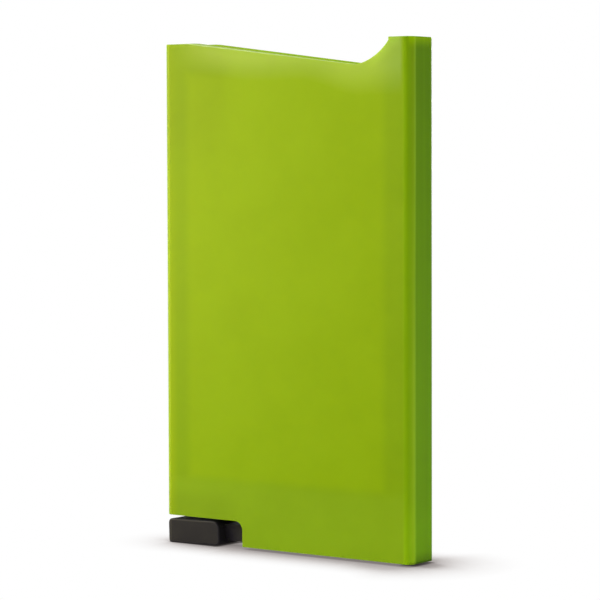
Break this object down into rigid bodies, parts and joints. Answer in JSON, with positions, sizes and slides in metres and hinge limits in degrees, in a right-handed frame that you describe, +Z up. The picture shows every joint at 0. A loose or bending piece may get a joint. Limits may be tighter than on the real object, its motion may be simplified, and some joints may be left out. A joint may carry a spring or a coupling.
{
  "type": "rfid card holder",
  "caption": "Slim pocket holder for bank cards: green shells lined with metal shield plates, a sloping mouth with a thumb scoop, and a black corner lever that lifts the cards in steps.",
  "frame": {"origin": "middle of the object's bounding box at the ground, under the lever's foot, which hangs 0.55 mm below the shells' base at rest", "axes": "+Z up to the mouth, -Y out of the front panel, +X from the lever's corner towards the pillar"},
  "size_m": [0.059, 0.008, 0.0976],
  "materials": {
    "shell": "satin, slightly translucent lime green",
    "shield": "rolled sheet",
    "film": "double-sided tape",
    "grip": "soft grey silicone",
    "lever": "fine satin black",
    "pin": "ground"
  },
  "bodies": {
    "housing": {"front_shell": "shell", "rear_shell": "shell", "front_shield_plate": "shield", "rear_shield_plate": "shield", "front_adhesive_film": "film", "rear_adhesive_film": "film", "left_card_grip": "grip", "right_card_grip": "grip", "pivot_pin": "pin"},
    "lever": {"eject_lever": "lever"}
  },
  "joints": [
    {"name": "lever_swing", "type": "hinge", "parent": "housing", "child": "lever", "pos_m": [-0.006, 0, 0.00325], "axis": [0, -1, 0], "range_deg": [-1.4, 58.6]}
  ]
}
